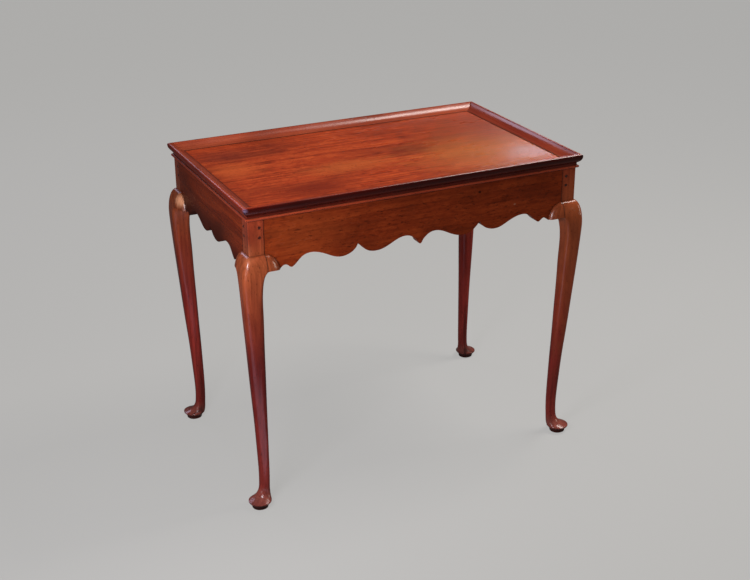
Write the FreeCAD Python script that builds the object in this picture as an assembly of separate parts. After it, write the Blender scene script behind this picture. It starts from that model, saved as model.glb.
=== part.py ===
import FreeCAD, Part
import math
import os

Vector = FreeCAD.Vector

# A tray top tea table: four cabriole legs, four scalloped aprons and a moulded tray.
# Millimetres; the origin is on the floor under the middle, +X right, +Y to the back, +Z up.

# Frame over the outer faces of the leg posts, and the height to the top of the tray rim
table_height = 668.0
frame_length = 739.0
frame_depth = 455.0

# Tray: a board with a moulded rim around it and a bead under the rim
board_thickness = 15.0
bead_height = 6.5
bead_projection = 5.0
rim_height = 23.0
rim_width = 30.0
rim_overhang = 10.5

# Leg posts and knees; the rise is how far a knee starts above the lower edge of the aprons
post_side = 32.0
post_arris = 1.0
seam_arris = 0.6
knee_rise = 36.0
knee_height = 51.0
knee_projection = 18.6
knee_arris = 14.0

# Knee blocks beside each knee, glued on the aprons; the underside falls from the knee to the tip
block_height = 31.0
block_length = 32.5
block_tip_drop = 4.2

# Leg shanks, ankles and pad feet; an inset is how far a centre stands inside the post's faces,
# on the end face and on the long face
flare_height = 44.0
shank_side = 39.4
shank_inset = 1.7
ankle_diameter = 22.4
ankle_inset_end = 18.0
ankle_inset_long = 20.0
ankle_height = 65.0
pad_diameter = 47.6
pad_inset_end = 3.0
pad_inset_long = 11.0
pad_top = 15.0
pad_edge = 2.0
base_height = 6.5
base_top_diameter = 36.0
base_diameter = 33.0

# Aprons
apron_thickness = 22.0
apron_height = 108.5
scallop_height = 25.0

# Mortise and tenon joints, with two pegs through each
tenon_setback = 7.0
tenon_thickness = 8.0
tenon_drop = 6.0
tenon_height = 81.0
tenon_end_gap = 1.0
joint_clearance = 0.1
peg_diameter = 6.0
peg_inset = 9.0
peg_drop = 16.5
peg_pitch = 20.0
peg_stand = 0.3
peg_gap = 1.0
pegs_per_joint = 2

# Glue blocks in the corner between the board and the aprons, in shares out from the middle of a side
glue_block_side = 20.0
glue_block_length = 70.0
long_glue_block_shares = [-1 / 2, 0, 1 / 2]
end_glue_block_shares = [0]

# Brads that hold the rim to the edge of the board and the bead to the aprons, in shares out from the
# middle of the board's edge
brad_diameter = 1.6
brad_length = 34.0
brad_head = 3.0
brad_head_thickness = 0.8
brad_clearance = 0.1
long_brad_shares = [-5 / 7, -3 / 7, -1 / 7, 1 / 7, 3 / 7, 5 / 7]
end_brad_shares = [-3 / 5, -1 / 5, 1 / 5, 3 / 5]

# How far a cutting shape runs past what it cuts
overrun = 5.0

# Levels and half sizes that the pieces share
half_length = frame_length / 2
half_depth = frame_depth / 2
rim_bottom = table_height - rim_height
frame_top = rim_bottom - bead_height
board_top = frame_top + board_thickness
board_edge = rim_overhang - rim_width
apron_bottom = frame_top - apron_height
knee_drop = apron_height - knee_rise
knee_top = frame_top - knee_drop
knee_widest = knee_top - knee_height
block_bottom = knee_top - block_height
tenon_length = post_side - tenon_setback - tenon_thickness - tenon_end_gap
peg_depth = post_side - peg_inset - peg_diameter / 2 - peg_gap

# Outline of the rim, in shares of its width from the board and of its height
rim_neck_share = 0.69
rim_ovolo_shares = [(0.702, 0.20), (0.918, 0.453), (1.00, 0.817)]
rim_crest_shares = [(0.958, 0.9465), (0.86, 1.00)]
rim_inner_crest_shares = [(0.766, 1.00), (0.75, 0.95)]
rim_hollow_shares = [(0.427, 0.553), (0.00, 0.40)]

# Scallops, in shares of their run along the apron and of the scallop height.
# The first run goes from a notch out to the post, the second from the centre drop to the notch.
notch_share = 0.413
outer_scallop_shares = [
    (0.000, 1.00), (0.043, 0.50), (0.110, 0.21), (0.175, 0.12), (0.245, 0.20), (0.340, 0.54),
    (0.440, 0.86), (0.520, 0.95), (0.595, 0.80), (0.655, 0.40), (0.700, 0.08), (0.720, 0.01),
    (0.738, 0.06), (0.764, 0.23), (0.790, 0.30), (0.825, 0.18), (0.846, 0.00)]
centre_scallop_shares = [
    (0.000, 0.00), (0.020, 0.05), (0.040, 0.24), (0.085, 0.53), (0.160, 0.81), (0.244, 0.90),
    (0.340, 0.81), (0.500, 0.40), (0.640, 0.12), (0.740, 0.09), (0.839, 0.22), (0.920, 0.54),
    (1.000, 1.00)]

# Knee stations, in degrees round its quarter ellipse from the top down
knee_turns = [90, 80, 68, 55, 42, 31]

# Flare from the knee's flat sides into the shank: shares of its drop and of the way in
flare_shares = [(0.12, 0.38), (0.28, 0.64), (0.55, 0.85)]

# Shank stations: shares of the drop to the ankle, of the inset, of the narrowing, of roundness at the
# outer corner and of roundness at the other three
shank_shares = [
    (0.00, 0.00, 0.00, 0.75, 0.44), (0.13, 0.13, 0.09, 0.78, 0.60), (0.24, 0.25, 0.20, 0.81, 0.70),
    (0.35, 0.37, 0.325, 0.84, 0.74), (0.465, 0.50, 0.43, 0.88, 0.82), (0.58, 0.635, 0.56, 0.93, 0.91),
    (0.695, 0.78, 0.71, 0.95, 0.95), (0.81, 0.89, 0.83, 0.96, 0.96), (0.92, 0.98, 0.945, 0.96, 0.96),
    (1.00, 1.00, 1.00, 0.96, 0.96)]

# Foot stations: shares of the drop from the ankle to the pad, of the way out and of the widening
foot_shares = [
    (0.34, 0.04, 0.00), (0.55, 0.10, 0.03), (0.70, 0.20, 0.14), (0.79, 0.31, 0.26),
    (0.87, 0.46, 0.43), (0.92, 0.63, 0.62), (0.96, 0.81, 0.83), (1.00, 1.00, 1.00)]

# Knee block: stations in degrees round the knee's ellipse, its face from the apron out to the knee in
# shares of its length and swell, and its underside in shares of its length and of its tip's drop
block_turns = [88, 80, 68, 55, 42, 31, 12]
block_face_shares = [(0.95, 0.23), (0.82, 0.48), (0.60, 0.73), (0.32, 0.91), (0.00, 1.00)]
block_underside_shares = [
    (0.12, -0.10), (0.28, 0.00), (0.48, 0.20), (0.66, 0.50), (0.82, 0.78), (1.00, 1.00)]

# Outward direction of each side of the table
sides = {"front": (0, -1), "back": (0, 1), "left": (-1, 0), "right": (1, 0)}
corners = {"front_left": (-1, -1), "front_right": (1, -1), "back_left": (-1, 1), "back_right": (1, 1)}


def side_half(side):
    """Half of the frame's size along a side."""
    return half_length if sides[side][0] == 0 else half_depth


def at_side(side, along, out, z):
    """Point at a distance along a side and out from its face."""
    across_x, across_y = sides[side]
    if across_x == 0:
        return Vector(along, across_y * (half_depth + out), z)
    return Vector(across_x * (half_length + out), along, z)


def outward(side):
    """Unit vector out of a side."""
    return Vector(sides[side][0], sides[side][1], 0)


def along_side(side):
    """Unit vector along a side."""
    return Vector(abs(sides[side][1]), abs(sides[side][0]), 0)


def wire_of(start, moves, place):
    """Wire of flat points: a move of one point is a line, of two an arc, of more a smooth curve."""
    edges = []
    here = start
    for move in moves:
        points = [place(*point) for point in [here] + move]
        if len(move) == 1:
            edges.append(Part.makeLine(points[0], points[1]))
        elif len(move) == 2:
            edges.append(Part.Arc(*points).toShape())
        else:
            curve = Part.BSplineCurve()
            curve.interpolate(points)
            edges.append(curve.toShape())
        here = move[-1]
    return Part.Wire(edges)


def box_between(first, second):
    """Box with two opposite corners."""
    low = Vector(min(first.x, second.x), min(first.y, second.y), min(first.z, second.z))
    size = Vector(abs(second.x - first.x), abs(second.y - first.y), abs(second.z - first.z))
    return Part.makeBox(size.x, size.y, size.z, low)


def save(name, shape):
    """Write one node."""
    shape.exportStep("parts/" + name + ".step")


def tenon(side, end, clearance):
    """Tenon at one end of an apron; with a clearance it is the cut for its mortise."""
    shoulder = side_half(side) - post_side
    tip = shoulder + tenon_length + clearance
    root = shoulder - clearance
    top = frame_top - tenon_drop
    first = at_side(side, end * root, clearance - tenon_setback, top + clearance)
    cheek = tenon_setback + tenon_thickness + clearance
    second = at_side(side, end * tip, -cheek, top - tenon_height - clearance)
    return box_between(first, second)


def peg(side, end, number, clearance):
    """Peg through a post and its tenon; with a clearance it is the hole, which runs out of the face."""
    along = end * (side_half(side) - post_side + peg_inset)
    z = frame_top - peg_drop - number * peg_pitch
    inner_end = at_side(side, along, -peg_depth - clearance, z)
    stand = overrun if clearance else peg_stand
    length = peg_depth + clearance + stand
    return Part.makeCylinder(peg_diameter / 2 + clearance, length, inner_end, outward(side))


def joint_pegs(side, end, clearance):
    """The pegs of one joint."""
    return [peg(side, end, number, clearance) for number in range(pegs_per_joint)]


def leg(right, back):
    """Cabriole leg in one solid with its post, from the frame's top to the floor."""

    def place(u, v, z):
        return Vector(right * (half_length + u), back * (half_depth + v), z)

    def section(z, low, high, outer_radius, side_radius, inner_radius):
        """Section between two corners on the plan, with its own radius at each corner."""
        plan = [(high[0], high[1], -1, -1, outer_radius), (low[0], high[1], 1, -1, side_radius),
                (low[0], low[1], 1, 1, inner_radius), (high[0], low[1], -1, 1, side_radius)]
        arcs = []
        for turn, (u, v, inward_u, inward_v, radius) in enumerate(plan):
            points = []
            for part in range(3):
                angle = math.pi / 2 * (turn + part / 2)
                points.append(place(u + radius * (inward_u + math.cos(angle)),
                                    v + radius * (inward_v + math.sin(angle)), z))
            arcs.append(points)
        edges = []
        for turn, points in enumerate(arcs):
            edges.append(Part.Arc(*points).toShape())
            edges.append(Part.makeLine(points[-1], arcs[(turn + 1) % len(arcs)][0]))
        return Part.Wire(edges)

    def round_section(z, centre, half, outer_roundness, roundness):
        """Section about a centre, with its own roundness at the outer corner."""
        radius = half * roundness
        low = [middle - half for middle in centre]
        high = [middle + half for middle in centre]
        return section(z, low, high, half * outer_roundness, radius, radius)

    def knee_section(turn):
        """Section of the knee at an angle round its quarter ellipse."""
        swell = math.cos(turn)
        arris = post_arris + (knee_arris - post_arris) * swell
        z = knee_widest + knee_height * math.sin(turn)
        outer = knee_projection * swell
        return section(z, (-post_side, -post_side), (outer, outer), arris, seam_arris, seam_arris)

    # Post above the knee
    post_outline = knee_section(math.radians(knee_turns[0]))
    post = Part.Face(post_outline).extrude(Vector(0, 0, knee_drop))

    # Knee down to the underside of its blocks, with flat sides where they are glued on
    seam_turn = math.asin((block_bottom - knee_widest) / knee_height)
    knee_wires = [knee_section(math.radians(turn)) for turn in knee_turns]
    knee_wires.append(knee_section(seam_turn))
    knee = Part.makeLoft(knee_wires, True, False)

    # Flare, shank and foot in one smooth run
    shank_wires = [knee_wires[-1]]
    shank_top = block_bottom - flare_height
    shank_half = shank_side / 2
    shank_radius = shank_half * shank_shares[0][4]
    shank_inner = -shank_inset - shank_half
    for drop, way_in in flare_shares:
        z = block_bottom - flare_height * drop
        inner = -post_side + (shank_inner + post_side) * way_in
        outer = knee_projection * math.sqrt(1 - ((z - knee_widest) / knee_height) ** 2)
        soft = seam_arris + (shank_radius - seam_arris) * way_in
        shank_wires.append(section(z, (inner, inner), (outer, outer), knee_arris, soft, soft))
    ankle_insets = (ankle_inset_end, ankle_inset_long)
    for drop, way_in, narrowing, outer_roundness, roundness in shank_shares:
        z = shank_top - (shank_top - ankle_height) * drop
        centre = [-shank_inset - (inset - shank_inset) * way_in for inset in ankle_insets]
        half = shank_half - (shank_half - ankle_diameter / 2) * narrowing
        shank_wires.append(round_section(z, centre, half, outer_roundness, roundness))
    ankle_roundness = shank_shares[-1][4]
    pad_insets = (pad_inset_end, pad_inset_long)
    for drop, way_out, widening in foot_shares:
        z = ankle_height - (ankle_height - pad_top) * drop
        centre = [-ankle + (ankle - pad) * way_out for ankle, pad in zip(ankle_insets, pad_insets)]
        half = ankle_diameter / 2 + (pad_diameter - ankle_diameter) / 2 * widening
        shank_wires.append(round_section(z, centre, half, ankle_roundness, ankle_roundness))
    shank = Part.makeLoft(shank_wires, True, False)

    # Edge of the pad and the turned base under it
    base_wires = [shank_wires[-1]]
    base_steps = [(pad_top - pad_edge, pad_diameter), (base_height, base_top_diameter), (0, base_diameter)]
    pad_centre = [-inset for inset in pad_insets]
    for z, diameter in base_steps:
        base_wires.append(round_section(z, pad_centre, diameter / 2, ankle_roundness, ankle_roundness))
    base = Part.makeLoft(base_wires, True, True)

    solid = post.fuse([knee, shank, base])
    cuts = []
    for side, end in (("back" if back > 0 else "front", right), ("right" if right > 0 else "left", back)):
        cuts.append(tenon(side, end, joint_clearance))
        cuts.extend(joint_pegs(side, end, joint_clearance))
    return solid.cut(cuts)


def scallop(start, run, shares):
    """Points of a scalloped edge from a start out along a run."""
    return [(start + run * x, apron_bottom + scallop_height * z) for x, z in shares]


def mirrored(points):
    """The same points on the other side of the middle."""
    return [(-along, z) for along, z in points]


def apron(side):
    """Apron with a scalloped lower edge and a tenon at each end."""
    half = side_half(side) - post_side
    centred_drop = sides[side][0] == 0
    notch = half * notch_share if centred_drop else 0
    outer_run = scallop(notch, half - notch, outer_scallop_shares)
    moves = [[(half, frame_top)], [(half, apron_bottom)], [outer_run[-1]], outer_run[-2::-1]]
    if centred_drop:
        inner_run = scallop(0, notch, centre_scallop_shares)
        moves.append(inner_run[-2::-1] + mirrored(inner_run)[1:])
    moves.append(mirrored(outer_run)[1:])
    moves.extend([[(-half, apron_bottom)], [(-half, frame_top)]])
    outline = wire_of((-half, frame_top), moves, lambda along, z: at_side(side, along, 0, z))
    panel = Part.Face(outline).extrude(outward(side) * -apron_thickness)
    panel = panel.fuse([tenon(side, end, 0) for end in (-1, 1)])
    holes = joint_pegs(side, -1, joint_clearance) + joint_pegs(side, 1, joint_clearance)
    return panel.cut(holes + bead_brads(side, brad_clearance))


def knee_block(side, end):
    """Block beside a knee, whose face runs from the knee's swell back to the apron."""
    seam = side_half(side) - post_side

    def place(inward, out, z):
        return at_side(side, end * (seam - inward), out, z)

    def plan_section(turn):
        """Plan at an angle round the knee's ellipse, running past the glued faces."""
        length = block_length * math.cos(turn)
        swell = knee_projection * math.cos(turn)
        z = knee_widest + knee_height * math.sin(turn)
        face = [(length * x, swell * y) for x, y in block_face_shares]
        moves = [[(length, -overrun)], [(length, 0)], face, [(-overrun, swell)], [(-overrun, -overrun)]]
        return wire_of((-overrun, -overrun), moves, lambda inward, out: place(inward, out, z))

    body = Part.makeLoft([plan_section(math.radians(turn)) for turn in block_turns], True, False)
    underside = [(block_length * x, block_bottom - block_tip_drop * z) for x, z in block_underside_shares]
    past_top = knee_top + overrun
    moves = [underside, [(block_length, past_top)], [(0, past_top)], [(0, block_bottom)]]
    outline = wire_of((0, block_bottom), moves, lambda inward, z: place(inward, 0, z))
    return body.common(Part.Face(outline).extrude(outward(side) * (knee_projection + overrun)))


def mitred(side, outline, low, high, inner, outer):
    """Strip along a side with the given end outline, mitred to its neighbours."""
    reach = side_half(side) + outer
    bar = Part.Face(outline(-reach)).extrude(along_side(side) * (reach + reach))
    inner_reach = side_half(side) + inner
    plan = [(-inner_reach, inner), (inner_reach, inner), (reach, outer), (-reach, outer)]
    plan_points = [at_side(side, along, out, low) for along, out in plan]
    wedge = Part.Face(Part.makePolygon(plan_points + plan_points[:1])).extrude(Vector(0, 0, high - low))
    return bar.common(wedge)


def brad(head_place, driven, clearance):
    """Brad with its head at a place, driven in a direction; with a clearance it is the hole."""
    run_out = overrun if clearance else 0
    top = head_place - driven * run_out
    shank = Part.makeCylinder(brad_diameter / 2 + clearance, run_out + brad_length + clearance, top, driven)
    head_length = run_out + brad_head_thickness + clearance
    head = Part.makeCylinder(brad_head / 2 + clearance, head_length, top, driven)
    return shank.fuse(head)


def brad_places(side):
    """Places for brads along a side."""
    shares = long_brad_shares if sides[side][0] == 0 else end_brad_shares
    return [(side_half(side) + board_edge) * share for share in shares]


def rim_brads(side, clearance):
    """Brads through the neck of a rim into the edge of the board."""
    out = board_edge + rim_width * rim_neck_share
    z = rim_bottom + (board_top - rim_bottom) / 2
    inward = outward(side) * -1
    return [brad(at_side(side, along, out, z), inward, clearance) for along in brad_places(side)]


def bead_brads(side, clearance):
    """Brads through a bead strip into the top of the apron, under the rim."""
    out = (board_edge + bead_projection) / 2
    down = Vector(0, 0, -1)
    return [brad(at_side(side, along, out, rim_bottom), down, clearance) for along in brad_places(side)]


def rim(side):
    """Rim moulding: neck, swelling ovolo, rounded crest and a hollow down to the board."""

    def point(across, up):
        return (board_edge + rim_width * across, rim_bottom + rim_height * up)

    def outline(along):
        moves = [[point(rim_neck_share, 0)], [point(rim_neck_share, rim_ovolo_shares[0][1])],
                 [point(*rim_ovolo_shares[0])], [point(*share) for share in rim_ovolo_shares[1:]],
                 [point(*share) for share in rim_crest_shares],
                 [point(*rim_inner_crest_shares[0])], [point(*rim_inner_crest_shares[1])],
                 [point(*share) for share in rim_hollow_shares], [point(0, 0)]]
        return wire_of(point(0, 0), moves, lambda out, z: at_side(side, along, out, z))

    strip = mitred(side, outline, rim_bottom - overrun, table_height + overrun, board_edge, rim_overhang)
    return strip.cut(rim_brads(side, brad_clearance))


def bead(side):
    """Bead strip with a half-round nose, lying on the frame outside the board."""
    nose_start = bead_projection - bead_height / 2

    def outline(along):
        nose = [(bead_projection, frame_top + bead_height / 2), (nose_start, rim_bottom)]
        moves = [[(nose_start, frame_top)], nose, [(board_edge, rim_bottom)], [(board_edge, frame_top)]]
        return wire_of((board_edge, frame_top), moves, lambda out, z: at_side(side, along, out, z))

    strip = mitred(side, outline, frame_top - overrun, rim_bottom + overrun, board_edge, bead_projection)
    return strip.cut(bead_brads(side, brad_clearance))


def tray_board():
    """Board of the tray, resting on the posts and aprons."""
    low = Vector(-half_length - board_edge, -half_depth - board_edge, frame_top)
    high = Vector(half_length + board_edge, half_depth + board_edge, board_top)
    holes = []
    for side in sides:
        holes.extend(rim_brads(side, brad_clearance))
    return box_between(low, high).cut(holes)


def glue_block(side, along):
    """Block rubbed into the corner under the board behind an apron."""
    first = at_side(side, along - glue_block_length / 2, -apron_thickness, frame_top)
    depth = apron_thickness + glue_block_side
    second = at_side(side, along + glue_block_length / 2, -depth, frame_top - glue_block_side)
    return box_between(first, second)


os.makedirs("parts", exist_ok=True)

for corner, (right, back) in corners.items():
    save("leg_" + corner, leg(right, back))
    long_side = corner.split("_")[0]
    end_side = corner.split("_")[1]
    save("knee_block_" + corner + "_on_" + long_side, knee_block(long_side, right))
    save("knee_block_" + corner + "_on_" + end_side, knee_block(end_side, back))

for side in sides:
    save("apron_" + side, apron(side))
    pegs = joint_pegs(side, -1, 0) + joint_pegs(side, 1, 0)
    save("tenon_pegs_" + side, Part.makeCompound(pegs))
    save("tray_rim_" + side, rim(side))
    save("bead_" + side, bead(side))
    shares = long_glue_block_shares if sides[side][0] == 0 else end_glue_block_shares
    for number, share in enumerate(shares, start=1):
        ending = "_" + str(number) if len(shares) > 1 else ""
        save("glue_block_" + side + ending, glue_block(side, side_half(side) * share))

save("tray_board", tray_board())
save("rim_brads", Part.makeCompound([nail for side in sides for nail in rim_brads(side, 0)]))
save("bead_brads", Part.makeCompound([nail for side in sides for nail in bead_brads(side, 0)]))
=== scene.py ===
import math

import bmesh
import bpy
from mathutils import Matrix, Vector


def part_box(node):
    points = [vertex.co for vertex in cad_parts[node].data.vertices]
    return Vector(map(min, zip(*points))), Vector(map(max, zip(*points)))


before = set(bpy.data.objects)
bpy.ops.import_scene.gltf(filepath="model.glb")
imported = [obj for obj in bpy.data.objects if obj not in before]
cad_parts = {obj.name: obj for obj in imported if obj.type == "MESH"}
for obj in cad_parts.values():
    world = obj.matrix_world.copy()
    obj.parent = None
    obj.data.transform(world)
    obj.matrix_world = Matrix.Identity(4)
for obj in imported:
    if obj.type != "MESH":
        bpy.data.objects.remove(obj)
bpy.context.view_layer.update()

# A tray top tea table in old varnished cherry, on a pale grey floor.
# Metres, in the frame of the solids: +X right, the front at -Y, +Z up.

MM = 0.001

# Faces, joints and levels of the solids that the finishes follow
FRAME_HALF_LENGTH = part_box("apron_right")[1].x
FRAME_HALF_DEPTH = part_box("apron_back")[1].y
FRAME_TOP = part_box("apron_front")[1].z
SEAM_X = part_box("leg_back_right")[0].x
POST_SIDE = FRAME_HALF_LENGTH - SEAM_X
SEAM_Y = FRAME_HALF_DEPTH - POST_SIDE
BOARD_HALF_LENGTH, BOARD_HALF_DEPTH, BOARD_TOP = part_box("tray_board")[1]
rim_low, rim_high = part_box("tray_rim_right")
RIM_BOTTOM = rim_low.z
RIM_TOP = rim_high.z
RIM_WIDTH = rim_high.x - rim_low.x

ALONG_X, ALONG_Y, ALONG_Z = 0, 1, 2
SIDES_GRAIN = {"front": ALONG_X, "back": ALONG_X, "left": ALONG_Y, "right": ALONG_Y}


def linear(colour):
    """An sRGB hex colour as the linear values that a shader takes."""
    parts = [int(colour[at:at + 2], 16) / 255 for at in (1, 3, 5)]
    return tuple(p / 12.92 if p <= 0.04045 else ((p + 0.055) / 1.055) ** 2.4 for p in parts) + (1.0,)


def add(tree, kind, inputs, ramp=(), **settings):
    """Add a node: its settings, its input values or links by socket, and a ramp's (place, colour) stops."""
    node = tree.nodes.new("ShaderNode" + kind)
    for name, value in settings.items():
        setattr(node, name, value)
    for socket, value in inputs.items():
        if isinstance(value, bpy.types.NodeSocket):
            tree.links.new(value, node.inputs[socket])
        else:
            node.inputs[socket].default_value = value
    if ramp:
        stops = node.color_ramp.elements
        while len(stops) < len(ramp):
            stops.new(0.5)
        for stop, (place, colour) in zip(stops, ramp):
            stop.position = place
            stop.color = linear(colour)
    return node


def along_grain(grain, size):
    """The scale that makes one unit of a pattern this many millimetres across the grain and along it."""
    across, along = size
    scale = [1 / (across * MM)] * 3
    scale[grain] = 1 / (along * MM)
    return scale


def far_from(tree, place, centre, reach):
    """How far a point lies from a centre, in shares of a reach, both in millimetres."""
    shifted = add(tree, "Mapping", {"Vector": place, "Location": [-c / r for c, r in zip(centre, reach)],
                                    "Scale": [1 / (r * MM) for r in reach]})
    return add(tree, "VectorMath", {0: shifted.outputs["Vector"]}, operation="LENGTH").outputs["Value"]


# Varnished cherry

# Patterns of the wood, in millimetres across the grain and along it: streaks of colour, gum flecks, short
# curls, blotches about a hand across, the ragged edges of stains, stretches rubbed by hands, and the waves
# of the plane. Fibres are 0.3 mm wide on the real wood and are drawn 2 mm wide, so that they show.
PATTERN_SIZES = {"streaks": (7, 330), "flecks": (2.6, 15), "fibres": (2, 55), "curls": (13, 30),
                 "blotches": (75, 210), "edges": (9, 40), "rubbing": (38, 90), "plane_waves": (30, 160)}
PATTERN_BUILD = {
    "streaks": {"Detail": 4.0, "Roughness": 0.6, "Distortion": 0.4},
    "flecks": {"Detail": 1.0},
    "fibres": {"Detail": 3.0, "Roughness": 0.65},
    "curls": {"Detail": 5.0, "Roughness": 0.7, "Distortion": 1.2},
    "blotches": {"Detail": 3.0, "Roughness": 0.55},
    "edges": {"Detail": 3.0},
    "rubbing": {"Detail": 4.0},
    "plane_waves": {"Detail": 2.0},
}
# Growth rings: millimetres apart, and how slowly they waver along the board.
# At a scale of 1 the wave texture has this many waves to the metre
RING_SPACING = 9
RING_STRETCH = 0.07
WAVES_PER_METRE = 20 / (2 * math.pi)
# How strongly streaks and fibres darken the figure, and how strongly a stain's edge is broken
STREAK_WEIGHT = 0.9
FIBRE_WEIGHT = 0.42
EDGE_WEIGHT = 0.9
# The middle of a noise, about which curls darken or lighten
NOISE_MIDDLE = 0.5
# From the first gum to full gum in a fleck, on the scale of its noise
FLECK_EDGE = 0.08
HUE_STRENGTH = 0.85
GRIME_DULLING = 0.25
VARNISH_IOR = 1.5
GUM = "#240A06"
# Black-brown of grimy joints, of painted shade in hollows, and of the darkening low on pieces
GRIME_AND_SHADE = "#1E0A07"
# Grime is thickest up to the first distance from a joint, and gone at the second
SEAM_DARK = 0.5 * MM
SEAM_CLEAN = 1.9 * MM
# The way over a moulding's section, out from the board and down from the crest
SECTION_WAY = 1.8 * RIM_WIDTH


def cherry_figure(tree, place, noise, grain, pith, tones, ring_share, curl):
    """Clean wood: growth rings about the pith, streaks, fibres and curls, from a pale to a dark tone."""
    ring_scale = [1.0, 1.0, 1.0]
    ring_scale[grain] = RING_STRETCH
    about_pith = add(tree, "Mapping",
                     {"Vector": place, "Location": [-at * MM for at in pith], "Scale": ring_scale})
    rings = add(tree, "TexWave",
                {"Vector": about_pith.outputs["Vector"], "Scale": 1 / (WAVES_PER_METRE * RING_SPACING * MM),
                 "Distortion": 7.0, "Detail": 3.0, "Detail Scale": 0.35, "Detail Roughness": 0.55},
                wave_type="RINGS", rings_direction="XYZ"[grain], wave_profile="SAW")
    figure = add(tree, "Math", {0: rings.outputs["Fac"], 1: ring_share}, operation="MULTIPLY")
    curls = add(tree, "Math", {0: noise["curls"], 1: NOISE_MIDDLE}, operation="SUBTRACT").outputs[0]
    weights = ((noise["streaks"], STREAK_WEIGHT), (noise["fibres"], FIBRE_WEIGHT), (curls, curl))
    for pattern, weight in weights:
        figure = add(tree, "Math", {0: pattern, 1: weight, 2: figure.outputs[0]}, operation="MULTIPLY_ADD")
    figure = add(tree, "MapRange", {"Value": figure.outputs[0], "From Min": 0.45, "From Max": 1.2})
    return add(tree, "ValToRGB", {"Fac": figure.outputs[0]},
               ramp=[(0.0, tones[0]), (0.5, tones[1]), (1.0, tones[2])]).outputs["Color"]


def hues_by_height(tree, axes, colour, hues):
    """Redder or browner by the height on a leg, in shares of the frame's height."""
    up = add(tree, "Math", {0: axes["Z"], 1: FRAME_TOP}, operation="DIVIDE")
    hue = add(tree, "ValToRGB", {"Fac": up.outputs[0]}, ramp=hues)
    return add(tree, "Mix", {0: HUE_STRENGTH, 6: colour, 7: hue.outputs[0]}, data_type="RGBA",
               blend_type="COLOR").outputs[2]


def painted_shade_by_section(tree, axes, colour, axis, board_half, tones):
    """Painted shade over a moulding's section, by the way over it: the joint with the board, the cove, the
    crest, the outer round, which faces down and is painted dark as shade, and the bead below."""
    out = add(tree, "Math", {0: axes[axis]}, operation="ABSOLUTE")
    down = add(tree, "Math", {0: RIM_TOP, 1: axes["Z"]}, operation="SUBTRACT")
    way = add(tree, "Math", {0: out.outputs[0], 1: down.outputs[0]}, operation="ADD")
    way = add(tree, "MapRange", {"Value": way.outputs[0], "From Min": board_half,
                                 "From Max": board_half + SECTION_WAY})
    section_shade = add(tree, "ValToRGB", {"Fac": way.outputs[0]}, ramp=tones)
    return add(tree, "Mix", {0: 1.0, 6: colour, 7: section_shade.outputs[0]}, data_type="RGBA",
               blend_type="MULTIPLY").outputs[2]


def marks_on_wood(tree, place, noise, colour, marks):
    """Stains, wear, figure and knots of this one table, with some painted light, shade and reflection, each
    at its place, with ragged edges.
    """
    for centre, reach, tint, strength in marks:
        away = add(tree, "Math", {0: noise["edges"], 1: EDGE_WEIGHT, 2: far_from(tree, place, centre, reach)},
                   operation="MULTIPLY_ADD")
        mark = add(tree, "MapRange", {"Value": away.outputs[0], "From Min": 0.55, "From Max": 1.5,
                                      "To Min": strength, "To Max": 0.0}, interpolation_type="SMOOTHSTEP")
        colour = add(tree, "Mix", {0: mark.outputs[0], 6: colour, 7: linear(tint)},
                     data_type="RGBA").outputs[2]
    return colour


def grime_and_painted_shade(tree, axes, painted_shade_reach, seams, dark_below):
    """How dark a piece gets: painted shade in hollows, grimy joints, and darker low on a piece towards the
    floor.
    """
    # Painted shade: ambient occlusion darkens the hollows
    hollow = add(tree, "AmbientOcclusion", {"Distance": painted_shade_reach * MM}, samples=8)
    grime_and_shade = add(tree, "MapRange", {"Value": hollow.outputs["AO"], "From Min": 0.30, "From Max": 0.92,
                                   "To Min": 0.85, "To Max": 0.0}).outputs[0]
    for axis, seam in seams:
        far = add(tree, "Math", {0: axes[axis]}, operation="ABSOLUTE")
        far = add(tree, "Math", {0: far.outputs[0], 1: seam}, operation="SUBTRACT")
        far = add(tree, "Math", {0: far.outputs[0]}, operation="ABSOLUTE")
        line = add(tree, "MapRange", {"Value": far.outputs[0], "From Min": SEAM_DARK, "From Max": SEAM_CLEAN,
                                      "To Min": 0.62, "To Max": 0.0})
        grime_and_shade = add(tree, "Math", {0: grime_and_shade, 1: line.outputs[0]}, operation="MAXIMUM").outputs[0]
    if dark_below:
        dark_height, clean_height, strength = dark_below
        low = add(tree, "MapRange", {"Value": axes["Z"], "From Min": dark_height * MM,
                                     "From Max": clean_height * MM, "To Min": strength, "To Max": 0.0})
        grime_and_shade = add(tree, "Math", {0: grime_and_shade, 1: low.outputs[0]}, operation="MAXIMUM").outputs[0]
    return grime_and_shade


def rubbed_varnish(tree, place, noise, grime_and_shade, dull, polished):
    """The varnish's roughness: between two levels as hands rub it, more under grimy joints and painted shade,
    and set at places.
    """
    roughness = add(tree, "MapRange", {"Value": noise["rubbing"], "From Min": 0.3, "From Max": 0.7,
                                       "To Min": dull[0], "To Max": dull[1]})
    roughness = add(tree, "Math", {0: grime_and_shade, 1: GRIME_DULLING, 2: roughness.outputs[0]},
                    operation="MULTIPLY_ADD").outputs[0]
    for centre, reach, level in polished:
        mark = add(tree, "MapRange", {"Value": far_from(tree, place, centre, reach), "From Min": 0.2,
                                      "To Min": 1.0, "To Max": 0.0}, interpolation_type="SMOOTHSTEP")
        roughness = add(tree, "Mix", {0: mark.outputs[0], 2: roughness, 3: level}).outputs[0]
    return roughness


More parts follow.
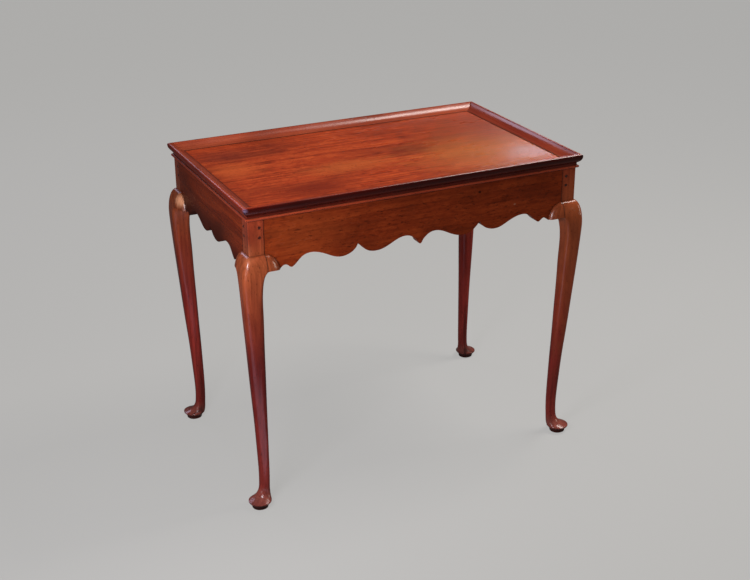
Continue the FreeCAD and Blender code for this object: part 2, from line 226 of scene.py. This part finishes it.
def varnished_cherry(name, grain, pith, tones, blotch, ring_share=0.2, curl=0.0,
                     streak=PATTERN_SIZES["streaks"], fleck=PATTERN_SIZES["flecks"], fleck_from=0.70,
                     hues=(), section=(), marks=(), painted_shade_reach=8, seams=(), dark_below=(),
                     gloss=0.28, dull=(0.18, 0.32), polished=()):
    """Old cherry under a worn varnish, dulled and polished by rubbing: red-brown, with long soft streaks and
    growth rings along the grain, short dark gum flecks, darker blotches, grimy joints with painted shade in
    the hollows, and a broken gloss.

    The pith is the middle of the tree and painted_shade_reach how wide a hollow is painted in shade, in
    millimetres.
    Gum shows from the level fleck_from of its noise. A section is an axis, where the board ends on it, and
    the tones of painted shade over the section. A seam is an axis and a place. The colour darkens over the
    two heights of dark_below, thinning out from its strength. A polished place is a centre, a reach and a
    roughness."""
    material = bpy.data.materials.new(name)
    material.use_nodes = True
    tree = material.node_tree
    shader = tree.nodes["Principled BSDF"]
    place = add(tree, "TexCoord", {}).outputs["Object"]
    axes = add(tree, "SeparateXYZ", {0: place}).outputs
    noise = {}
    for pattern, size in (PATTERN_SIZES | {"streaks": streak, "flecks": fleck}).items():
        drawn_out = add(tree, "Mapping", {"Vector": place, "Scale": along_grain(grain, size)})
        clouds = add(tree, "TexNoise",
                     {"Vector": drawn_out.outputs["Vector"], "Scale": 1.0} | PATTERN_BUILD[pattern])
        noise[pattern] = clouds.outputs["Fac"]

    # The wood, its blotches, painted shade over a moulding's section, its marks (some of them painted light),
    # its gum flecks, and the black-brown of grimy joints and painted shade over them
    colour = cherry_figure(tree, place, noise, grain, pith, tones, ring_share, curl)
    patches = add(tree, "MapRange", {"Value": noise["blotches"], "From Min": 0.46, "From Max": 0.72,
                                     "To Max": 0.75})
    colour = add(tree, "Mix", {0: patches.outputs[0], 6: colour, 7: linear(blotch)},
                 data_type="RGBA").outputs[2]
    if hues:
        colour = hues_by_height(tree, axes, colour, hues)
    # Painted shade over a moulding's section
    if section:
        colour = painted_shade_by_section(tree, axes, colour, *section)
    colour = marks_on_wood(tree, place, noise, colour, marks)
    flecks = add(tree, "MapRange", {"Value": noise["flecks"], "From Min": fleck_from,
                                    "From Max": fleck_from + FLECK_EDGE, "To Max": 0.62})
    colour = add(tree, "Mix", {0: flecks.outputs[0], 6: colour, 7: linear(GUM)}, data_type="RGBA").outputs[2]
    # Grimy joints and painted shade in the hollows, darkening the wood
    grime_and_shade = grime_and_painted_shade(tree, axes, painted_shade_reach, seams, dark_below)
    colour = add(tree, "Mix", {0: grime_and_shade, 6: colour, 7: linear(GRIME_AND_SHADE)}, data_type="RGBA").outputs[2]
    tree.links.new(colour, shader.inputs["Base Color"])

    roughness = rubbed_varnish(tree, place, noise, grime_and_shade, dull, polished)
    tree.links.new(roughness, shader.inputs["Roughness"])
    shader.inputs["IOR"].default_value = VARNISH_IOR
    shader.inputs["Specular IOR Level"].default_value = gloss

    # The waves of the plane, open fibres and the pits of the flecks
    planed = add(tree, "Bump", {"Height": noise["plane_waves"], "Strength": 0.5, "Distance": 0.9 * MM})
    open_grain = add(tree, "Bump", {"Height": noise["fibres"], "Strength": 0.35, "Distance": 0.18 * MM,
                                    "Normal": planed.outputs[0]})
    pits = add(tree, "Bump", {"Height": flecks.outputs[0], "Strength": 0.5, "Distance": 0.3 * MM,
                              "Normal": open_grain.outputs[0]}, invert=True)
    tree.links.new(pits.outputs[0], shader.inputs["Normal"])
    return material


# Below, a mark is a centre and a reach in millimetres, a tint and its strength

# The tray: a dark corner at the back left, dark curls in the figure, a warm middle, a tan right end that is
# partly painted sheen, painted reflection where the sheen lies, and a darker back right end that is partly
# painted shade
TRAY = ("#CC582A", "#AC3E1E", "#6A2412")
TRAY_LEVEL = BOARD_TOP / MM
tray_marks = [
    ((-290, 135, TRAY_LEVEL), (95, 60, 60), "#6E2A20", 0.5),
    ((-242, 7, TRAY_LEVEL), (24, 12, 20), "#5A1C12", 0.55),
    ((18, 7, TRAY_LEVEL), (20, 11, 20), "#5E2010", 0.60),
    ((117, 89, TRAY_LEVEL), (22, 12, 20), "#5A2012", 0.55),
    ((178, -33, TRAY_LEVEL), (24, 11, 20), "#662612", 0.55),
    ((-70, -45, TRAY_LEVEL), (150, 55, 60), "#C86A34", 0.45),
    ((-300, 30, TRAY_LEVEL), (80, 75, 60), "#D0602E", 0.6),
    ((-210, -150, TRAY_LEVEL), (150, 65, 60), "#7A2614", 0.7),
    # Partly a paler right end of the board, partly painted sheen
    ((265, -85, TRAY_LEVEL), (270, 190, 60), "#C0763C", 0.6),
    # Painted reflection: the board darker and greyer where the sheen lies
    ((318, -118, TRAY_LEVEL), (90, 55, 60), "#84503A", 0.4),
    # Partly a duller board, partly painted shade against the lamps' haze
    ((335, 80, TRAY_LEVEL), (230, 190, 60), "#74402A", 0.5),
]
tray_cherry = varnished_cherry(
    "varnished_cherry_tray", ALONG_X, (0, 40, 500), TRAY, "#6E2616", ring_share=0.26, curl=1.2,
    streak=(6, 120), fleck=(2.2, 8), fleck_from=0.64, marks=tray_marks,
    painted_shade_reach=4, seams=[("Y", BOARD_HALF_DEPTH)],
    gloss=0.2, dull=(0.26, 0.34), polished=[((318, -128, TRAY_LEVEL), (110, 70, 60), 0.2)])

# The aprons, dense with gum flecks: on the front a tan left end, a black knot, a pale nick and a dark dash
LONG_APRON = ("#8A3817", "#722910", "#401407")
END_APRON = ("#7C2E10", "#64200A", "#380F05")
APRON_FACE = -FRAME_HALF_DEPTH / MM
front_marks = [
    ((-250, APRON_FACE, 600), (130, 20, 60), "#86401C", 0.25),
    ((137, APRON_FACE, 619), (4, 8, 3.5), "#140503", 0.95),
    ((222, APRON_FACE, 579), (4, 8, 3), "#B08A70", 0.5),
    ((-269, APRON_FACE, 605), (13, 8, 2.6), "#2A0C06", 0.8),
]
apron_cherry = {
    ALONG_X: varnished_cherry(
        "varnished_cherry_long_apron", ALONG_X, (0, -420, 560), LONG_APRON, "#4E1A0A", curl=1.0,
        streak=(6, 160), fleck=(2.2, 9), fleck_from=0.635, marks=front_marks,
        seams=[("X", SEAM_X), ("Z", FRAME_TOP)], gloss=0.16),
    ALONG_Y: varnished_cherry(
        "varnished_cherry_end_apron", ALONG_Y, (-560, 0, 600), END_APRON, "#3A1408", curl=0.5,
        streak=(6, 160), fleck=(2.2, 9), fleck_from=0.635,
        seams=[("Y", SEAM_Y), ("Z", FRAME_TOP)], dark_below=(535, 575, 0.8), gloss=0.12),
}

# The legs: plum feet, red shanks, browner knees and redder posts. The left legs have darker shanks, and the
# front one a darker post too. The front right leg is paler, partly its own tone and partly painted light. The
# front left knee is worn, and the back left knee block has a pale worn patch that is partly a painted
# highlight
LEG = ("#9A4020", "#822F16", "#5C2010")
LEG_HUES = [(0.0, "#6A3430"), (0.035, "#744038"), (0.07, "#6E2622"), (0.50, "#6C1E1A"),
            (0.70, "#7C3620"), (0.86, "#8A4628"), (1.0, "#7A301C")]
leg_marks = [
    ((-375, -233, 270), (60, 60, 290), "#4A100E", 0.65),
    ((-369, -227, 606), (50, 50, 42), "#5E1E14", 0.55),
    ((-382, -240, 572), (30, 30, 26), "#B86E4C", 0.5),
    # Paler front right leg: partly its own tone, partly painted light
    ((375, -233, 400), (60, 60, 330), "#AA5630", 0.5),
    # Pale worn patch on the back left knee block, partly a painted highlight
    ((-377, 176, 554), (18, 30, 19), "#D89870", 0.95),
    ((-375, 233, 390), (60, 60, 190), "#5E1A18", 0.55),
]
leg_cherry = varnished_cherry(
    "varnished_cherry_leg", ALONG_Z, (60, 90, 0), LEG, "#4C1612", fleck=(1.8, 8), fleck_from=0.66,
    hues=LEG_HUES, marks=leg_marks, seams=[("X", SEAM_X), ("Y", SEAM_Y), ("Z", FRAME_TOP)],
    dark_below=(7, 15, 0.8), gloss=0.3, dull=(0.14, 0.25),
    polished=[((-386, -244, 574), (40, 40, 40), 0.22)])

# The mouldings: a painted glint on the front left mitre, a redder right rim, and dark lines where the end
# rims meet the board
MOULDING = ("#B05838", "#9A422A", "#68281A")
# Painted shade by section, multiplied into the wood: the long mouldings' outer round painted near black, the
# end mouldings' outer round painted lighter where it faces the light
LONG_SECTION_SHADE = [(0.24, "#A08880"), (0.30, "#FFFFFF"), (0.45, "#F6ECE8"), (0.50, "#E0BCB0"),
                (0.54, "#A87870"), (0.565, "#5E3238"), (0.70, "#50282E"), (0.745, "#6A3E3C"),
                (0.80, "#A88078"), (0.85, "#F0D4C4")]
END_SECTION_SHADE = [(0.24, "#8A6C66"), (0.30, "#D8BCB4"), (0.42, "#E4CCC4"), (0.45, "#FFF4EC"),
               (0.51, "#F0D0C4"), (0.55, "#D8AEA0"), (0.62, "#A8766C"), (0.70, "#9A6A62"),
               (0.80, "#C8A498"), (0.85, "#D8C0B8")]
BOARD_END = BOARD_HALF_LENGTH / MM
RIM_MIDDLE = BOARD_END + RIM_WIDTH / MM / 2
# Painted glint, pale lilac, where the front left mitre is worn
painted_mitre_glint = ((-378, -236, 664), (8, 8, 6), "#7C6E8A", 0.5)
end_rim_marks = [
    painted_mitre_glint,
    ((RIM_MIDDLE, 0, 660), (17, 420, 40), "#7A281C", 0.6),
    ((BOARD_END, 0, 654), (3.5, 700, 8), "#200906", 0.9),
    ((-BOARD_END, 0, 654), (3, 700, 8), "#4A1810", 0.6),
]
moulding_cherry = {
    ALONG_X: varnished_cherry(
        "varnished_cherry_long_moulding", ALONG_X, (0, 30, 560), MOULDING, "#6A2A1C", ring_share=0.1,
        section=("Y", BOARD_HALF_DEPTH, LONG_SECTION_SHADE), marks=[painted_mitre_glint], painted_shade_reach=4,
        seams=[("Z", FRAME_TOP), ("Z", RIM_BOTTOM), ("Y", BOARD_HALF_DEPTH)], gloss=0.4),
    ALONG_Y: varnished_cherry(
        "varnished_cherry_end_moulding", ALONG_Y, (50, 0, 560), MOULDING, "#6A2A1C", ring_share=0.1,
        section=("X", BOARD_HALF_LENGTH, END_SECTION_SHADE), marks=end_rim_marks, painted_shade_reach=4,
        seams=[("Z", FRAME_TOP), ("Z", RIM_BOTTOM)], gloss=0.4, dull=(0.32, 0.42),
        polished=[((367, 0, 662), (15, 300, 40), 0.2)]),
}


# Bare wood and iron

# How far the roughness of bare wood goes to each side of its middle
DRY_SPREAD = 0.1


def bare_wood(name, grain, tones, size, roughness):
    """Unvarnished wood: dry, matt, with a plain straight grain."""
    material = bpy.data.materials.new(name)
    material.use_nodes = True
    tree = material.node_tree
    shader = tree.nodes["Principled BSDF"]
    place = add(tree, "TexCoord", {}).outputs["Object"]
    drawn_out = add(tree, "Mapping", {"Vector": place, "Scale": along_grain(grain, size)})
    bands = add(tree, "TexNoise", {"Vector": drawn_out.outputs["Vector"], "Scale": 1.0, "Detail": 5.0,
                                   "Roughness": 0.6}).outputs["Fac"]
    colour = add(tree, "ValToRGB", {"Fac": bands}, ramp=[(0.3, tones[0]), (0.5, tones[1]), (0.7, tones[2])])
    tree.links.new(colour.outputs[0], shader.inputs["Base Color"])
    dry = add(tree, "MapRange", {"Value": bands, "To Min": roughness - DRY_SPREAD,
                                 "To Max": roughness + DRY_SPREAD})
    tree.links.new(dry.outputs[0], shader.inputs["Roughness"])
    rough = add(tree, "Bump", {"Height": bands, "Strength": 0.5, "Distance": 0.25 * MM})
    tree.links.new(rough.outputs[0], shader.inputs["Normal"])
    return material


# Saw-cut pine of the glue blocks, browned by age, with 3 mm bands of grain
OLD_PINE = ("#8A6440", "#75502F", "#523520")
pine = {grain: bare_wood("sawn_old_pine_" + "xyz"[grain], grain, OLD_PINE, (3, 120), 0.75)
        for grain in (ALONG_X, ALONG_Y)}
# End grain of the pegs: dark, close and a little polished by the varnish
PEG_END = ("#4A1C12", "#34110B", "#1C0906")
peg_end = {grain: bare_wood("dark_peg_end_grain_" + "xyz"[grain], grain, PEG_END, (1.2, 20), 0.4)
           for grain in (ALONG_X, ALONG_Y)}

# Pits of the iron, drawn 0.8 mm wide
PIT_SIZE = 0.8 * MM


def wrought_iron():
    """Iron of the brads: brown-black, dull and pitted."""
    material = bpy.data.materials.new("rusted_wrought_iron")
    material.use_nodes = True
    tree = material.node_tree
    shader = tree.nodes["Principled BSDF"]
    place = add(tree, "TexCoord", {}).outputs["Object"]
    pits = add(tree, "TexNoise", {"Vector": place, "Scale": 1 / PIT_SIZE, "Detail": 3.0}).outputs["Fac"]
    colour = add(tree, "ValToRGB", {"Fac": pits}, ramp=[(0.35, "#2A211D"), (0.65, "#4A3226")])
    tree.links.new(colour.outputs[0], shader.inputs["Base Color"])
    dull = add(tree, "MapRange", {"Value": pits, "To Min": 0.45, "To Max": 0.8})
    tree.links.new(dull.outputs[0], shader.inputs["Roughness"])
    shader.inputs["Metallic"].default_value = 0.7
    rough = add(tree, "Bump", {"Height": pits, "Strength": 0.4, "Distance": 0.1 * MM})
    tree.links.new(rough.outputs[0], shader.inputs["Normal"])
    return material


iron = wrought_iron()


# The finish of each solid

def finish_of(name):
    """The material of a solid, by its name."""
    if name == "tray_board":
        return tray_cherry
    if name.endswith("brads"):
        return iron
    if name.startswith(("leg_", "knee_block_")):
        return leg_cherry
    words = name.split("_")
    side = words[2] if name.startswith(("glue_block_", "tenon_pegs_", "tray_rim_")) else words[1]
    grain = SIDES_GRAIN[side]
    if name.startswith("glue_block_"):
        return pine[grain]
    if name.startswith("tenon_pegs_"):
        return peg_end[ALONG_Y if grain == ALONG_X else ALONG_X]
    return apron_cherry[grain] if name.startswith("apron_") else moulding_cherry[grain]


for name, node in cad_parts.items():
    node.data.materials.clear()
    node.data.materials.append(finish_of(name))

# The floor

FLOOR_HALF_SIDE = 30.0
# How much of the pale floor shows in glossy wood, and how even the floor is to the camera
MIRRORED_SHARE = 0.06
EVEN_SHARE = 0.85

# Matt grey studio floor: pale to the eye and even, with the table's shadow in it, and darker to the light
# that it sends back
floor_material = bpy.data.materials.new("matt_grey_studio_floor")
floor_material.use_nodes = True
floor_tree = floor_material.node_tree
floor_shader = floor_tree.nodes["Principled BSDF"]
rays = add(floor_tree, "LightPath", {}).outputs
mirrored = add(floor_tree, "Math", {0: rays["Is Glossy Ray"], 1: rays["Is Transmission Ray"]},
               operation="MAXIMUM")
mirrored = add(floor_tree, "Math", {0: mirrored.outputs[0], 1: MIRRORED_SHARE}, operation="MULTIPLY")
seen = add(floor_tree, "Math", {0: rays["Is Camera Ray"], 1: mirrored.outputs[0]}, operation="MAXIMUM")
grey = add(floor_tree, "Mix", {0: seen.outputs[0], 6: linear("#4E4D4C"), 7: linear("#CFCECC")},
           data_type="RGBA")
floor_tree.links.new(grey.outputs[2], floor_shader.inputs["Base Color"])
floor_shader.inputs["Roughness"].default_value = 0.9
floor_shader.inputs["Specular IOR Level"].default_value = 0.0
even = add(floor_tree, "Emission", {"Color": linear("#B9B8B6"), "Strength": 1.0})
share = add(floor_tree, "Math", {0: seen.outputs[0], 1: EVEN_SHARE}, operation="MULTIPLY")
mixed = add(floor_tree, "MixShader", {0: share.outputs[0], 1: floor_shader.outputs[0], 2: even.outputs[0]})
floor_tree.links.new(mixed.outputs[0], floor_tree.nodes["Material Output"].inputs["Surface"])

floor_mesh = bpy.data.meshes.new("studio_floor")
floor_shape = bmesh.new()
bmesh.ops.create_grid(floor_shape, x_segments=1, y_segments=1, size=FLOOR_HALF_SIDE)
floor_shape.to_mesh(floor_mesh)
floor_shape.free()
floor = bpy.data.objects.new("studio_floor", floor_mesh)
floor.data.materials.append(floor_material)
bpy.context.scene.collection.objects.link(floor)


# The light

def soft_lamp(name, place, aim, width, height, power, colour):
    """A rectangular soft lamp turned towards a point, in metres and watts."""
    data = bpy.data.lights.new(name, "AREA")
    data.shape = "RECTANGLE"
    data.size = width
    data.size_y = height
    data.energy = power
    data.color = linear(colour)[:3]
    lamp = bpy.data.objects.new(name, data)
    lamp.location = place
    lamp.rotation_euler = (Vector(aim) - Vector(place)).to_track_quat("-Z", "Y").to_euler()
    lamp.visible_camera = False
    bpy.context.scene.collection.objects.link(lamp)


soft_lamp("key_lamp", (-0.85, -0.75, 0.90), (-0.20, -0.15, 0.5), 0.34, 0.36, 11, "#F8F6FF")
soft_lamp("top_lamp", (1.30, -0.10, 2.3), (0.12, 0.0, 0.65), 0.8, 0.9, 44, "#FFFAF4")
soft_lamp("back_lamp", (-0.82, 2.44, 1.94), (0.37, 0.0, 0.67), 0.8, 0.7, 9, "#E6E0FF")
soft_lamp("far_lamp", (2.380, 2.822, 1.817), (0.34, -0.21, 0.655), 0.50, 0.20, 2.3, "#ECEAFF")
soft_lamp("low_lamp", (-2.2, -1.00, 0.45), (-0.1, -0.1, 0.3), 1.0, 0.6, 7, "#FAF2F4")
soft_lamp("right_lamp", (2.3, -1.15, 0.75), (0.38, -0.2, 0.33), 0.5, 0.9, 12, "#FFF0E0")
soft_lamp("floor_glow", (-0.75, -0.45, 0.02), (-0.75, -0.45, 1.0), 1.2, 0.3, 1.4, "#E4E0FF")

world = bpy.data.worlds.new("studio_room")
world.use_nodes = True
room = world.node_tree.nodes["Background"]
room.inputs["Color"].default_value = linear("#B4B3B1")
room.inputs["Strength"].default_value = 0.10
bpy.context.scene.world = world
bpy.context.scene.view_settings.view_transform = "Standard"

# The camera

# Its place, its turn round the table, its rise over the horizon, its roll, and its lens in millimetres
CAMERA_PLACE = (-1.1487, -2.4230, 1.5030)
AZIMUTH = math.radians(-25.474)
ELEVATION = math.radians(23.486)
ROLL = math.radians(-0.358)
LENS = 62.643
SENSOR_WIDTH = 36.0

camera_data = bpy.data.cameras.new("camera")
camera_data.lens = LENS
camera_data.sensor_width = SENSOR_WIDTH
camera = bpy.data.objects.new("camera", camera_data)
back = Vector((math.sin(AZIMUTH) * math.cos(ELEVATION), -math.cos(AZIMUTH) * math.cos(ELEVATION),
               math.sin(ELEVATION)))
level_right = Vector((0, 0, 1)).cross(back).normalized()
level_up = back.cross(level_right)
right = math.cos(ROLL) * level_right + math.sin(ROLL) * level_up
up = back.cross(right)
camera.matrix_world = Matrix.Translation(CAMERA_PLACE) @ Matrix((right, up, back)).transposed().to_4x4()
bpy.context.scene.collection.objects.link(camera)
bpy.context.scene.camera = camera
